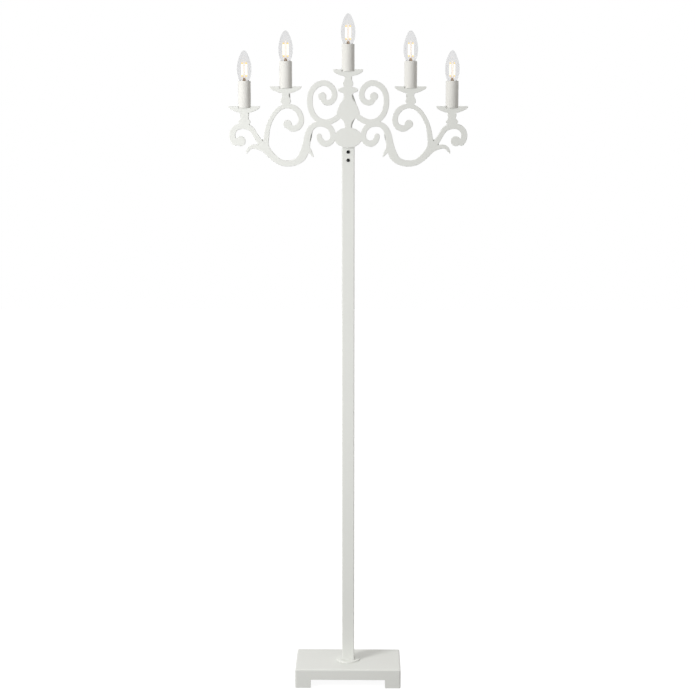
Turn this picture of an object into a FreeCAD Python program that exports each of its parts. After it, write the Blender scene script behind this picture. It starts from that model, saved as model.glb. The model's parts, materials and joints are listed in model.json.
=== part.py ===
import FreeCAD, Part
import math
import os

# Candelabra floor lamp: a flat scrolled head with five candle lights on a square post and a plate base.
# Millimetres, +Z up, front towards -Y, origin on the floor under the middle of the base.

# Base
base_width = 260.4
base_depth = 145.0
base_sheet = 3.0
base_bend_radius = 4.0
skirt_drop = 27.0
foot_drop = 21.0
foot_width = 38.8
pad_proud = 1.0
pad_side = 24.0

# Ballast and its fastenings
ballast_thickness = 20.0
ballast_gap = 1.5
ballast_corner_cut = 5.0
stud_radius = 3.0
stud_inset = 39.0
stud_tail = 2.0
nut_flats = 10.0
nut_height = 5.0
cord_slot_width = 9.0
cord_pocket_width = 18.0
cord_pocket_depth = 8.0

# Cord bush in the rear skirt
bush_radius = 5.5
bush_bore_radius = 3.6
bush_flange_radius = 7.5
bush_flange_thickness = 2.0

# Post, its collar and its foot
post_side = 30.0
post_wall = 1.5
post_corner_radius = 2.0
post_height = 1281.0
collar_radius = 29.0
collar_thickness = 3.5
collar_edge_cut = 0.8
insert_height = 25.0
bolt_radius = 4.0
bolt_setback = 3.0
bolt_length = 45.0
bolt_head_flats = 13.0
bolt_head_height = 5.3
washer_radius = 8.0
washer_thickness = 1.6
cord_hole_radius = 4.0
cord_hole_setback = 8.8

# Tongue that joins the head to the post
tongue_wall = 2.0
tongue_depth_in_post = 75.0
tongue_rise = 36.0
tongue_pad_width = 24.0
head_screw_radius = 2.4
head_screw_length = 9.0
head_screw_head_radius = 4.0
head_screw_head_height = 2.4
head_screw_edge_cut = 1.2
head_screw_key_flats = 2.5
head_screw_key_depth = 1.4
head_screw_drop = 17.0
head_screw_pitch = 19.5

# Scrolled plate
plate_thickness = 6.0
scroll_reach = 282.0
scroll_rise = 201.7
scroll_foot_drop = 51.0
band_width = 13.5
neck_half_width = 9.3
neck_height = 24.5
centre_neck_height = 23.6
pan_half_width = 37.6
centre_pan_half_width = 34.9
pan_depth = 16.4
pan_lip = 4.4

# Wire box behind the middle of the plate, with its lid and terminal block
box_depth = 28.0
box_wall = 1.2
box_top_half_width = 7.5
box_shift = 1.5
cover_screw_radius = 1.5
cover_screw_length = 9.0
cover_screw_head_radius = 2.75
cover_screw_head_height = 1.8
cover_boss_side = 6.4
cover_screw_offset = 7.0
terminal_width = 24.0
terminal_height = 16.0
terminal_depth = 13.0
terminal_hole = 3.6
terminal_screw_bite = 4.0

# Wire channels behind the arms, and the leads in them
channel_width = 7.5
channel_depth = 10.0
channel_wall = 1.0
junction_radius = 12.0
lead_width = 4.0
lead_thickness = 3.2
lead_set_back = 7.0
lead_offset = 6.2
lead_hole_radius = 2.8

# Candle sleeve, its seat and its lampholder
sleeve_radius = 15.0
sleeve_wall = 1.2
sleeve_height = 63.0
candle_set_back = 8.0
seat_thickness = 2.0
strap_width = 9.0
strap_thickness = 3.0
holder_rise = 20.0
holder_step = 0.5
holder_drop = 6.0
socket_depth = 23.0

# Bulb
bulb_radius = 17.5
bulb_rise = 71.0
cap_radius = 6.75
cap_top_drop = 5.0
contact_flats = 7.0
contact_height = 5.0
filament_length = 35.0
filament_rise = 11.0
filament_spread = 6.2
filament_turn = 20.0
filament_width = 1.6
filament_thickness = 0.9
filament_stem = 4.4
filament_wire = 0.8

# Fits
slip_gap = 0.3
thread_gap = 0.1
overrun = 2.0
straight_sag = 0.005

# Worked out from the sizes above
half_post = post_side / 2
skirt_bottom = pad_proud + foot_drop
shell_top = skirt_bottom + skirt_drop
ballast_top = shell_top - base_sheet
ballast_bottom = ballast_top - ballast_thickness
post_top = shell_top + post_height
plate_back = -half_post
plate_middle = plate_back - plate_thickness / 2
tongue_side = post_side - 2 * post_wall - 2 * slip_gap
tongue_top = post_top + tongue_rise
scroll_foot = post_top - scroll_foot_drop
box_back = plate_back + box_depth
channel_back = plate_back + channel_depth
lead_middle = plate_middle + lead_set_back
candle_middle = plate_middle + candle_set_back
seat_radius = sleeve_radius - sleeve_wall - slip_gap
holder_radius = sleeve_radius - sleeve_wall - holder_step
socket_radius = cap_radius + slip_gap
socket_floor = sleeve_height - holder_drop - socket_depth
glass_height = bulb_rise + cap_top_drop

# Scroll outlines: across from the middle in shares of the reach, up from the lowest arm in shares
# of the rise, and the width of the band there in shares of the band width
top_volute_shares = (
    (0.035, 0.643, 1.00), (0.081, 0.581, 1.00), (0.136, 0.532, 1.00), (0.195, 0.515, 1.00),
    (0.258, 0.550, 1.00), (0.305, 0.637, 1.00), (0.320, 0.759, 1.00), (0.308, 0.863, 1.00),
    (0.262, 0.940, 1.00), (0.196, 0.967, 1.00), (0.138, 0.921, 1.00), (0.113, 0.840, 1.00),
    (0.132, 0.764, 1.00), (0.174, 0.740, 1.00), (0.206, 0.776, 1.00),
)
main_arm_shares = (
    (0.243, 0.353, 0.94), (0.237, 0.318, 1.00), (0.190, 0.265, 1.10), (0.136, 0.307, 1.00),
    (0.128, 0.376, 1.00), (0.153, 0.452, 1.00), (0.216, 0.496, 1.00), (0.289, 0.474, 1.00),
    (0.321, 0.425, 1.10), (0.346, 0.307, 1.22), (0.383, 0.122, 1.49), (0.421, 0.067, 1.22),
    (0.509, 0.036, 1.10), (0.567, 0.049, 1.05), (0.608, 0.083, 1.08), (0.654, 0.142, 1.22),
    (0.690, 0.237, 1.10), (0.687, 0.330, 0.98), (0.679, 0.411, 0.88), (0.660, 0.504, 0.80),
    (0.623, 0.600, 0.79), (0.572, 0.675, 0.77), (0.513, 0.701, 0.75), (0.442, 0.675, 0.96),
    (0.407, 0.620, 0.98), (0.393, 0.556, 1.00), (0.404, 0.483, 1.05), (0.459, 0.442, 1.12),
    (0.492, 0.463, 1.12),
)
outer_arm_shares = (
    (0.690, 0.200, 1.00), (0.706, 0.226, 1.00), (0.748, 0.302, 0.97), (0.783, 0.378, 0.86),
    (0.815, 0.440, 0.94), (0.870, 0.467, 0.95), (0.936, 0.453, 1.00), (0.966, 0.405, 1.05),
    (0.971, 0.342, 1.10), (0.949, 0.277, 1.05),
)
outer_leaf_shares = (
    (0.664, 0.145, 1.05), (0.723, 0.206, 0.80), (0.774, 0.231, 0.79), (0.813, 0.228, 0.65),
    (0.839, 0.196, 0.52), (0.851, 0.160, 0.25),
)
inner_leaf_shares = (
    (0.358, 0.249, 1.05), (0.329, 0.191, 0.82), (0.307, 0.149, 0.52), (0.294, 0.116, 0.18),
)

# Volute eyes: across, up, and the radius in shares of the band width
eye_shares = ((0.216, 0.813, 0.73), (0.508, 0.492, 0.75), (0.902, 0.295, 0.87))

# Where the arms crest under their candles: across, up, and the band's width there
inner_crest_share = (0.522, 0.701, 0.75)
outer_crest_share = (0.869, 0.467, 0.95)

# Oval between the arms: its middle, up, and its half width and half height in shares
oval_middle_share = 0.336
oval_width_share = 0.117
oval_height_share = 0.119

# Baluster above the oval, from its waist to the collar, and its pointed collar
baluster_shares = (
    (0.027, 0.440), (0.027, 0.469), (0.034, 0.513), (0.061, 0.557), (0.098, 0.609), (0.088, 0.661),
    (0.072, 0.720), (0.045, 0.771), (0.034, 0.816), (0.047, 0.852),
)
baluster_collar_shares = (
    (0.058, 0.857), (0.082, 0.873), (0.084, 0.898), (0.060, 0.914), (0.032, 0.926),
)

# Turned necks under the pans: half width in shares of the neck's, and down from the pan in
# shares of the neck's height
single_neck_shares = ((1.00, 0.00), (0.94, 0.30), (1.32, 0.68), (0.92, 1.00))
double_neck_shares = ((0.98, 0.00), (1.10, 0.25), (0.97, 0.50), (1.50, 0.74), (1.22, 1.00))

# Half of a pan's lower edge: across in shares of its half width, down in shares of its depth
pan_shares = ((1.00, 0.00), (0.97, 0.25), (0.80, 0.54), (0.52, 0.82), (0.24, 1.00))
centre_pan_shares = ((1.00, 0.00), (0.99, 0.28), (0.86, 0.54), (0.56, 0.82), (0.26, 1.00))

# Half of the wire box's outline, and where its two lid screws stand
wire_box_shares = (
    (0.027, 0.469), (0.039, 0.517), (0.060, 0.576), (0.074, 0.631), (0.071, 0.677), (0.056, 0.755),
    (0.041, 0.816), (0.033, 0.843),
)
cover_screw_shares = (0.518, 0.760)
terminal_share = 0.630

# Routes of the channels behind the arms, up to where they turn into the necks
main_route_shares = (
    (0.060, 0.600), (0.100, 0.562), (0.150, 0.527), (0.215, 0.507), (0.274, 0.482), (0.307, 0.430),
    (0.319, 0.342), (0.340, 0.250), (0.380, 0.125), (0.421, 0.070), (0.509, 0.040), (0.606, 0.086),
    (0.652, 0.145), (0.688, 0.237), (0.688, 0.330), (0.680, 0.411), (0.661, 0.504), (0.624, 0.600),
    (0.574, 0.672), (0.528, 0.708),
)
branch_route_shares = ((0.640, 0.130), (0.706, 0.226), (0.748, 0.301), (0.784, 0.376), (0.820, 0.445))
junction_share = (0.719, 0.255)
turn_share = 0.060

# Bulb outline, outside and inside: radius in shares of the bulb's, height in shares of the glass
# height
glass_shares = (
    (0.377, 0.000), (0.700, 0.095), (0.900, 0.250), (0.990, 0.365), (0.990, 0.480), (0.900, 0.625),
    (0.700, 0.805), (0.400, 0.935), (0.150, 0.990), (0.000, 1.000),
)
glass_inside_shares = ((0.330, 0.000), (0.915, 0.330), (0.915, 0.510), (0.000, 0.985))


def at(across, up):
    """Point on the left half of the head, from its shares of the reach and the rise."""
    return FreeCAD.Vector(-scroll_reach * across, 0, scroll_foot + scroll_rise * up)


def spline(points):
    """Smooth line through the points."""
    line = Part.BSplineCurve()
    line.interpolate(Points=points)
    return line


def arc(first, through, last):
    """Arc edge through three points, or a straight edge where they lie in line."""
    off_line = through.distanceToLine(first, last - first)
    if off_line < straight_sag:
        return Part.makeLine(first, last)
    return Part.Arc(first, through, last).toShape()


def curve(points):
    """Arcs from point to point along a smooth line through all the points."""
    line = spline(points)
    knots = line.getKnots()
    return [arc(a, line.value((s + t) / 2), b)
            for a, b, s, t in zip(points, points[1:], knots, knots[1:])]


def chain(points):
    """Straight edges from point to point."""
    return [Part.makeLine(a, b) for a, b in zip(points, points[1:])]


def face_of(edges):
    return Part.Face(Part.Wire(Part.__sortEdges__(edges)))


def flipped(shape):
    """The same shape on the other side of the lamp's middle."""
    return shape.mirror(FreeCAD.Vector(0, 0, 0), FreeCAD.Vector(1, 0, 0))


def slab(face, front, back):
    """Solid made from a face in the XZ plane, between two depths."""
    moved = face.translated(FreeCAD.Vector(0, front, 0))
    return moved.extrude(FreeCAD.Vector(0, back - front, 0))


def block(x0, x1, y0, y1, z0, z1):
    return Part.makeBox(x1 - x0, y1 - y0, z1 - z0, FreeCAD.Vector(x0, y0, z0))


def rod(radius, length, x, y, z, axis=(0, 0, 1)):
    return Part.makeCylinder(radius, length, FreeCAD.Vector(x, y, z), FreeCAD.Vector(*axis))


def disc(radius, middle):
    """Round face in the XZ plane."""
    return Part.Face(Part.Wire(Part.makeCircle(radius, middle, FreeCAD.Vector(0, 1, 0))))


def square_bar(side, corner, z0, z1):
    """Upright square bar on the lamp's axis, with its corners cut off."""
    bar = block(-side / 2, side / 2, -side / 2, side / 2, z0, z1)
    return bar.makeChamfer(corner, [e for e in bar.Edges if is_upright(e)])


def round_cornered_bar(side, corner, z0, z1):
    bar = block(-side / 2, side / 2, -side / 2, side / 2, z0, z1)
    return bar.makeFillet(corner, [e for e in bar.Edges if is_upright(e)])


def hexagon(flats, height, x, y, z):
    """Upright hexagonal prism on its base point."""
    corner = flats / math.sqrt(3)
    turns = [math.radians(60 * k) for k in range(7)]
    ring = [FreeCAD.Vector(x + corner * math.cos(t), y + corner * math.sin(t), z) for t in turns]
    return face_of(chain(ring)).extrude(FreeCAD.Vector(0, 0, height))


def is_upright(edge):
    a, b = edge.Vertexes[0].Point, edge.Vertexes[-1].Point
    return abs(a.z - b.z) > abs(a.x - b.x) + abs(a.y - b.y)


def turned(pairs, x, y, z):
    """Solid of revolution about an upright line, from its profile's (radius, height) corners."""
    points = [FreeCAD.Vector(radius, 0, height) for radius, height in pairs]
    profile = face_of(chain(points + points[:1]))
    shape = profile.revolve(FreeCAD.Vector(0, 0, 0), FreeCAD.Vector(0, 0, 1), 360)
    return shape.translated(FreeCAD.Vector(x, y, z))


def joined(shapes):
    return shapes[0].multiFuse(shapes[1:]).removeSplitter()


def ribbon(route, widths, plain=False):
    """Flat band along a smooth line through the route's points, as a face with round ends.

    Each point's width rides along as its depth, so that one curve gives both. A plain band has
    straight edges, two for each step of the route.
    """
    line = spline([FreeCAD.Vector(p.x, width, p.z) for p, width in zip(route, widths)])
    knots = line.getKnots()

    def cross(t):
        """Left edge, right edge, forward tip and backward tip of the band at a place on the line."""
        spot, along = line.value(t), line.tangent(t)[0]
        ahead = FreeCAD.Vector(along.x, 0, along.z).normalize() * (spot.y / 2)
        aside = FreeCAD.Vector(-ahead.z, 0, ahead.x)
        middle = FreeCAD.Vector(spot.x, 0, spot.z)
        return middle + aside, middle - aside, middle + ahead, middle - ahead

    edges = []
    for s, t in zip(knots, knots[1:]):
        first, through, last = cross(s), cross((s + t) / 2), cross(t)
        for side in (0, 1):
            points = (first[side], through[side], last[side])
            edges += chain(points) if plain else [arc(*points)]
    start, end = cross(knots[0]), cross(knots[-1])
    edges += [arc(start[0], start[3], start[1]), arc(end[0], end[2], end[1])]
    return face_of(edges)


def band(shares):
    """Ribbon from a table of across, up and width shares."""
    return ribbon([at(u, v) for u, v, w in shares], [band_width * w for u, v, w in shares])


def crest_height(crest):
    """Top of an arm's band where a candle's neck stands on it."""
    return at(crest[0], crest[1]).z + band_width * crest[2] / 2


def seat_above(neck_foot, height):
    return neck_foot + height + pan_depth - pan_lip


centre_neck_foot = at(0, baluster_collar_shares[-1][1]).z
centre_seat = seat_above(centre_neck_foot, centre_neck_height)
inner_seat = seat_above(crest_height(inner_crest_share), neck_height)
outer_seat = seat_above(crest_height(outer_crest_share), neck_height)
inner_reach = scroll_reach * inner_crest_share[0]
outer_reach = scroll_reach * outer_crest_share[0]

# Each candle: name, place across, height of its seat, and which way its lead lies beside it
candles = (
    ("outer_left", -outer_reach, outer_seat, 1),
    ("inner_left", -inner_reach, inner_seat, 1),
    ("centre", 0, centre_seat, 0),
    ("inner_right", inner_reach, inner_seat, -1),
    ("outer_right", outer_reach, outer_seat, -1),
)


# Base

def rounded_box(width, depth, z0, z1, radius):
    """Box on the lamp's axis whose upright and top edges are rounded."""
    box = block(-width / 2, width / 2, -depth / 2, depth / 2, z0, z1)
    top = [e for e in box.Edges if all(v.Z > z1 - radius for v in e.Vertexes)]
    return box.makeFillet(radius, [e for e in box.Edges if is_upright(e)] + top)


def stud_places():
    x = base_width / 2 - stud_inset
    return [-x, x]


def base_shell():
    """Folded top and skirt of the base, with the two studs that hold the ballast."""
    inner_depth = base_depth - 2 * base_sheet
    shell = rounded_box(base_width, base_depth, skirt_bottom, shell_top, base_bend_radius)
    shell = shell.cut(base_inside(skirt_bottom, ballast_top))
    holes = [
        rod(bolt_radius + slip_gap, base_sheet + 2 * overrun, 0, -bolt_setback, ballast_top - overrun),
        rod(cord_hole_radius, base_sheet + 2 * overrun, 0, cord_hole_setback, ballast_top - overrun),
        rod(bush_radius, 2 * base_sheet, 0, inner_depth / 2 - overrun, bush_height(), (0, 1, 0)),
    ]
    shell = shell.cut(holes[0]).cut(holes[1]).cut(holes[2])
    length = ballast_thickness + nut_height + stud_tail
    studs = [rod(stud_radius, length, x, 0, ballast_top - length) for x in stud_places()]
    return joined([shell] + studs)


def base_inside(low, high):
    """Room inside the base's sheet, from below a height up to another."""
    half_width, half_depth = base_width / 2 - base_sheet, base_depth / 2 - base_sheet
    return block(-half_width, half_width, -half_depth, half_depth, low - overrun, high)


def base_feet():
    """Angles of the same sheet under the corners of the skirt, flush with its outside."""
    ring = block(-base_width / 2, base_width / 2, -base_depth / 2, base_depth / 2, pad_proud,
                 skirt_bottom)
    ring = ring.makeFillet(base_bend_radius, [e for e in ring.Edges if is_upright(e)])
    ring = ring.cut(base_inside(pad_proud, skirt_bottom + overrun))
    half_gap, half_side_gap = base_width / 2 - foot_width, base_depth / 2 - foot_width
    high = skirt_bottom + overrun
    feet = ring.cut(block(-half_gap, half_gap, -base_depth, base_depth, 0, high))
    feet = feet.cut(block(-base_width, base_width, -half_side_gap, half_side_gap, 0, high))
    return Part.makeCompound(feet.Solids)


def bush_height():
    return shell_top - skirt_drop / 2


def ballast_plate():
    width = base_width - 2 * (base_sheet + ballast_gap)
    depth = base_depth - 2 * (base_sheet + ballast_gap)
    plate = block(-width / 2, width / 2, -depth / 2, depth / 2, ballast_bottom, ballast_top)
    plate = plate.makeChamfer(ballast_corner_cut, [e for e in plate.Edges if is_upright(e)])
    low, tall = ballast_bottom - overrun, ballast_thickness + 2 * overrun
    for x in stud_places():
        plate = plate.cut(rod(stud_radius + slip_gap, tall, x, 0, low))
    plate = plate.cut(rod(bolt_radius + slip_gap, tall, 0, -bolt_setback, low))
    half_slot, half_pocket = cord_slot_width / 2, cord_pocket_width / 2
    high = ballast_top + overrun
    plate = plate.cut(rod(half_slot, tall, 0, cord_hole_setback, low))
    plate = plate.cut(block(-half_slot, half_slot, cord_hole_setback, depth, low, high))
    pocket_front = depth / 2 - cord_pocket_depth
    return plate.cut(block(-half_pocket, half_pocket, pocket_front, depth, low, high))


def ballast_nuts():
    nuts = []
    for x in stud_places():
        nut = hexagon(nut_flats, nut_height, x, 0, ballast_bottom - nut_height)
        bore = rod(stud_radius + thread_gap, nut_height + 2 * overrun, x, 0,
                   ballast_bottom - nut_height - overrun)
        nuts.append(nut.cut(bore))
    return Part.makeCompound(nuts)


def foot_pads():
    outer_x, outer_y = base_width / 2 - base_sheet, base_depth / 2 - base_sheet
    pads = []
    for sx in (-1, 1):
        for sy in (-1, 1):
            x0, x1 = sorted((sx * outer_x, sx * (outer_x - pad_side)))
            y0, y1 = sorted((sy * outer_y, sy * (outer_y - pad_side)))
            pads.append(block(x0, x1, y0, y1, 0, ballast_bottom))
    return Part.makeCompound(pads)


def cord_bush():
    length = base_sheet + bush_flange_thickness
    inside = base_depth / 2 - length
    body = rod(bush_radius, length, 0, inside, bush_height(), (0, 1, 0))
    flange = rod(bush_flange_radius, bush_flange_thickness, 0, inside, bush_height(), (0, 1, 0))
    bore = rod(bush_bore_radius, length + 2 * overrun, 0, inside - overrun, bush_height(), (0, 1, 0))
    return joined([body, flange]).cut(bore)


# Post

def post_collar():
    ring = rod(collar_radius, collar_thickness, 0, 0, shell_top)
    rim = [e for e in ring.Edges if all(v.Z > shell_top for v in e.Vertexes)]
    ring = ring.makeChamfer(collar_edge_cut, rim)
    hole = round_cornered_bar(post_side + 2 * slip_gap, post_corner_radius, shell_top - overrun,
                              shell_top + collar_thickness + overrun)
    return ring.cut(hole)


def post():
    tube = round_cornered_bar(post_side, post_corner_radius, shell_top, post_top)
    bore_corner = post_corner_radius - post_wall
    bore = square_bar(post_side - 2 * post_wall, bore_corner, shell_top - overrun, post_top + overrun)
    tube = tube.cut(bore)
    for z in head_screw_heights():
        hole = rod(head_screw_radius + slip_gap, post_wall + 2 * overrun, 0, -half_post - overrun, z,
                   (0, 1, 0))
        tube = tube.cut(hole)
    return tube


def head_screw_heights():
    first = post_top - head_screw_drop
    return (first, first - head_screw_pitch)


def post_foot_insert():
    side = post_side - 2 * post_wall - 2 * thread_gap
    high = shell_top + insert_height
    insert = square_bar(side, post_corner_radius, shell_top, high)
    insert = insert.cut(rod(bolt_radius + thread_gap, insert_height + 2 * overrun, 0, -bolt_setback,
                            shell_top - overrun))
    insert = insert.cut(rod(cord_hole_radius, insert_height + 2 * overrun, 0, cord_hole_setback,
                            shell_top - overrun))
    notch = block(-cord_hole_radius, cord_hole_radius, cord_hole_setback, side,
                  shell_top - overrun, high + overrun)
    return insert.cut(notch)


def post_bolt():
    under_head = ballast_bottom - washer_thickness
    shank = rod(bolt_radius, bolt_length, 0, -bolt_setback, under_head)
    head = hexagon(bolt_head_flats, bolt_head_height, 0, -bolt_setback, under_head - bolt_head_height)
    return joined([shank, head])


def post_bolt_washer():
    ring = rod(washer_radius, washer_thickness, 0, -bolt_setback, ballast_bottom - washer_thickness)
    return ring.cut(rod(bolt_radius + slip_gap, washer_thickness + 2 * overrun, 0, -bolt_setback,
                        ballast_bottom - washer_thickness - overrun))


# Head

def head_tongue():
    low = post_top - tongue_depth_in_post
    tube = square_bar(tongue_side, post_corner_radius, low, tongue_top)
    bore_side = tongue_side - 2 * tongue_wall
    tube = tube.cut(square_bar(bore_side, post_corner_radius, low - overrun, tongue_top + overrun))
    pad_half = tongue_pad_width / 2
    pad = block(-pad_half, pad_half, plate_back, tongue_wall - tongue_side / 2,
                post_top + slip_gap, tongue_top)
    tongue = joined([tube, pad])
    for z in head_screw_heights():
        hole = rod(head_screw_radius + thread_gap, tongue_side / 2, 0, -half_post, z, (0, 1, 0))
        tongue = tongue.cut(hole)
    return tongue


def head_screws():
    screws = []
    for z in head_screw_heights():
        head_face = -half_post - head_screw_head_height
        shank = rod(head_screw_radius, head_screw_length, 0, -half_post, z, (0, 1, 0))
        head = rod(head_screw_head_radius, head_screw_head_height, 0, head_face, z, (0, 1, 0))
        rim = [e for e in head.Edges if all(v.Y < -half_post for v in e.Vertexes)]
        head = head.makeChamfer(head_screw_edge_cut, rim)
        key = hexagon(head_screw_key_flats, head_screw_key_depth, 0, 0, 0)
        key.rotate(FreeCAD.Vector(0, 0, 0), FreeCAD.Vector(1, 0, 0), -90)
        screws.append(joined([head, shank]).cut(key.translated(FreeCAD.Vector(0, head_face, z))))
    return Part.makeCompound(screws)


def neck_and_pan(x, neck_foot, height, shares, pan_reach=pan_half_width, pan_outline=pan_shares):
    """Flat outline of one candle's turned neck and of the drip pan on it."""
    pan_bottom = neck_foot + height
    lip = pan_bottom + pan_depth
    seat = lip - pan_lip
    root = neck_foot - band_width / 3

    def half_outline(side):
        neck = [FreeCAD.Vector(x + side * neck_half_width * w, 0, pan_bottom - height * d)
                for w, d in shares]
        pan = [FreeCAD.Vector(x + side * pan_reach * w, 0, lip - pan_depth * d)
               for w, d in pan_outline]
        rest = FreeCAD.Vector(x + side * (sleeve_radius + slip_gap), 0, seat)
        shoulder = FreeCAD.Vector(rest.x, 0, lip)
        foot = FreeCAD.Vector(neck[-1].x, 0, root)
        joint = neck[0]
        straight = [(neck[-1], foot), (pan[-1], joint), (pan[0], shoulder), (shoulder, rest)]
        edges = curve(neck) + curve(pan) + [Part.makeLine(a, b) for a, b in straight]
        return edges, foot, rest

    left, left_foot, left_rest = half_outline(-1)
    right, right_foot, right_rest = half_outline(1)
    closing = [Part.makeLine(left_foot, right_foot), Part.makeLine(left_rest, right_rest)]
    return face_of(left + right + closing)


def baluster():
    """Turned middle of the head, drawn flat: belly, waists and pointed collar."""
    flank = [at(u, v) for u, v in baluster_shares]
    collar = [at(u, v) for u, v in baluster_collar_shares]
    left = curve(flank) + chain([flank[-1]] + collar)
    right = [flipped(edge) for edge in left]
    foot, top = flank[0], collar[-1]
    closing = [Part.makeLine(p, FreeCAD.Vector(-p.x, 0, p.z)) for p in (foot, top)]
    return face_of(left + right + closing)


def oval():
    middle = at(0, oval_middle_share)
    ellipse = Part.Ellipse(middle, scroll_reach * oval_width_share, scroll_rise * oval_height_share)
    turn = FreeCAD.Rotation(FreeCAD.Vector(1, 0, 0), 90)
    edge = ellipse.toShape()
    edge.Placement = FreeCAD.Placement(middle - turn.multVec(middle), turn)
    return Part.Face(Part.Wire(edge))


def scroll_plate():
    bands = (top_volute_shares, main_arm_shares, outer_arm_shares, outer_leaf_shares,
             inner_leaf_shares)
    left = [band(shares) for shares in bands]
    left += [disc(band_width * r, at(u, v)) for u, v, r in eye_shares]
    left.append(neck_and_pan(-inner_reach, crest_height(inner_crest_share), neck_height,
                             single_neck_shares))
    left.append(neck_and_pan(-outer_reach, crest_height(outer_crest_share), neck_height,
                             double_neck_shares))
    half = [slab(face, plate_back - plate_thickness, plate_back) for face in left]
    middle = [baluster(), oval(),
              neck_and_pan(0, centre_neck_foot, centre_neck_height, single_neck_shares,
                           centre_pan_half_width, centre_pan_shares)]
    centre = [slab(face, plate_back - plate_thickness, plate_back) for face in middle]
    plate = joined(half + [flipped(solid) for solid in half] + centre)
    hole = rod(cover_screw_radius + thread_gap, terminal_screw_bite + overrun, 0,
               plate_back - terminal_screw_bite, at(0, terminal_share).z, (0, 1, 0))
    return plate.cut(hole)


# Wire box, lid and terminal block behind the plate

def box_face(inset):
    """Outline of the wire box, drawn in by the inset."""
    half = [at(u, v) + FreeCAD.Vector(inset, 0, 0) for u, v in wire_box_shares]
    foot = FreeCAD.Vector(half[0].x, 0, tongue_top + inset)
    top = FreeCAD.Vector(inset - box_top_half_width, 0, centre_seat - inset)
    shoulder = FreeCAD.Vector(top.x, 0, centre_neck_foot)
    left = [Part.makeLine(foot, half[0])] + curve(half) + chain([half[-1], shoulder, top])
    right = [flipped(edge) for edge in left]
    closing = [Part.makeLine(p, FreeCAD.Vector(-p.x, 0, p.z)) for p in (foot, top)]
    outline = face_of(left + right + closing)
    return outline.translated(FreeCAD.Vector(box_shift, 0, 0))


def box_outside():
    return slab(box_face(0), plate_back, box_back)


def cover_screw_places():
    return [(box_shift - cover_screw_offset, at(0, v).z) for v in cover_screw_shares]


def wire_box():
    inside = slab(box_face(box_wall), plate_back + box_wall, box_back + overrun)
    box = box_outside().cut(inside)
    half = cover_boss_side / 2
    bosses = [block(x - half, x + half, plate_back, box_back, z - half, z + half)
              for x, z in cover_screw_places()]
    box = joined([box] + bosses)
    for x, z in cover_screw_places():
        box = box.cut(rod(cover_screw_radius + thread_gap, cover_screw_length + overrun, x,
                          box_back - cover_screw_length, z, (0, 1, 0)))
    hole_height = at(0, terminal_share).z
    box = box.cut(rod(cover_screw_radius + slip_gap, box_wall + 2 * overrun, 0,
                      plate_back - overrun, hole_height, (0, 1, 0)))
    cord_way = rod(cord_hole_radius, box_wall + 2 * overrun, 0, 0, tongue_top - overrun)
    top_way = rod(lead_hole_radius, box_wall + 2 * overrun, 0, lead_middle,
                  centre_seat - box_wall - overrun)
    side_way = slab(route_face(main_route_shares, channel_width - 2 * channel_wall),
                    plate_back + box_wall, channel_back - channel_wall)
    return box.cut(cord_way).cut(top_way).cut(side_way).cut(flipped(side_way))


def rear_cover():
    lid = slab(box_face(0), box_back, box_back + box_wall)
    for x, z in cover_screw_places():
        lid = lid.cut(rod(cover_screw_radius + slip_gap, box_wall + 2 * overrun, x,
                          box_back - overrun, z, (0, 1, 0)))
    return lid


def small_screw(x, under_head, z, length):
    """Screw driven from the back: its head bears at the given depth and its shank runs forward."""
    shank = rod(cover_screw_radius, length, x, under_head - length, z, (0, 1, 0))
    head = rod(cover_screw_head_radius, cover_screw_head_height, x, under_head, z, (0, 1, 0))
    return joined([shank, head])


def cover_screws():
    return Part.makeCompound([small_screw(x, box_back + box_wall, z, cover_screw_length)
                              for x, z in cover_screw_places()])


def terminal_front():
    return plate_back + box_wall


def terminal_block():
    middle = at(0, terminal_share).z
    half_width, half_height, half_hole = terminal_width / 2, terminal_height / 2, terminal_hole / 2
    front = terminal_front()
    body = block(-half_width, half_width, front, front + terminal_depth,
                 middle - half_height, middle + half_height)
    body = body.cut(rod(cover_screw_radius + slip_gap, terminal_depth + 2 * overrun, 0,
                        front - overrun, middle, (0, 1, 0)))
    for side in (-1, 1):
        for level in (-1, 1):
            x, z = side * terminal_width / 3, middle + level * terminal_height / 4
            body = body.cut(block(x - half_hole, x + half_hole, front + terminal_depth / 2,
                                  front + terminal_depth + overrun, z - half_hole, z + half_hole))
    return body


def terminal_screw():
    under_head = terminal_front() + terminal_depth
    length = terminal_depth + box_wall + terminal_screw_bite - thread_gap
    return small_screw(0, under_head, at(0, terminal_share).z, length)


# Wire channels and leads

def route_points(shares, reach=None, seat=None, rise=0):
    """Points of a route, and its turn up beside a candle where one is named."""
    points = [at(u, v) for u, v in shares]
    if reach is not None:
        turn = points[-1].z + turn_share * scroll_rise
        heights = [turn, (turn + seat) / 2, seat]
        if rise:
            heights.append(seat + rise)
        points += [FreeCAD.Vector(lead_offset - reach, 0, z) for z in heights]
    return points


def route_face(shares, width, reach=None, seat=None, rise=0):
    points = route_points(shares, reach, seat, rise)
    return ribbon(points, [width] * len(points), plain=True)


def channel_faces(width, radius):
    """Both branches of the left channel and the round cover of their junction."""
    return [
        route_face(main_route_shares, width, inner_reach, inner_seat),
        route_face(branch_route_shares, width, outer_reach, outer_seat),
        disc(radius, at(*junction_share)),
    ]


def wire_channel(box):
    """Left channel, with both its branches, outside the wire box."""
    outer = joined([slab(f, plate_back, channel_back) for f in channel_faces(channel_width,
                                                                            junction_radius)])
    inner = joined([slab(f, plate_back - overrun, channel_back - channel_wall)
                    for f in channel_faces(channel_width - 2 * channel_wall,
                                           junction_radius - channel_wall)])
    channel = outer.cut(inner).cut(box)
    for reach, seat in ((inner_reach, inner_seat), (outer_reach, outer_seat)):
        above = block(-reach - post_side, -reach + post_side, plate_back - overrun,
                      channel_back + overrun, seat, seat + post_side)
        channel = channel.cut(above)
    return max(channel.Solids, key=lambda solid: solid.Volume)


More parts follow.
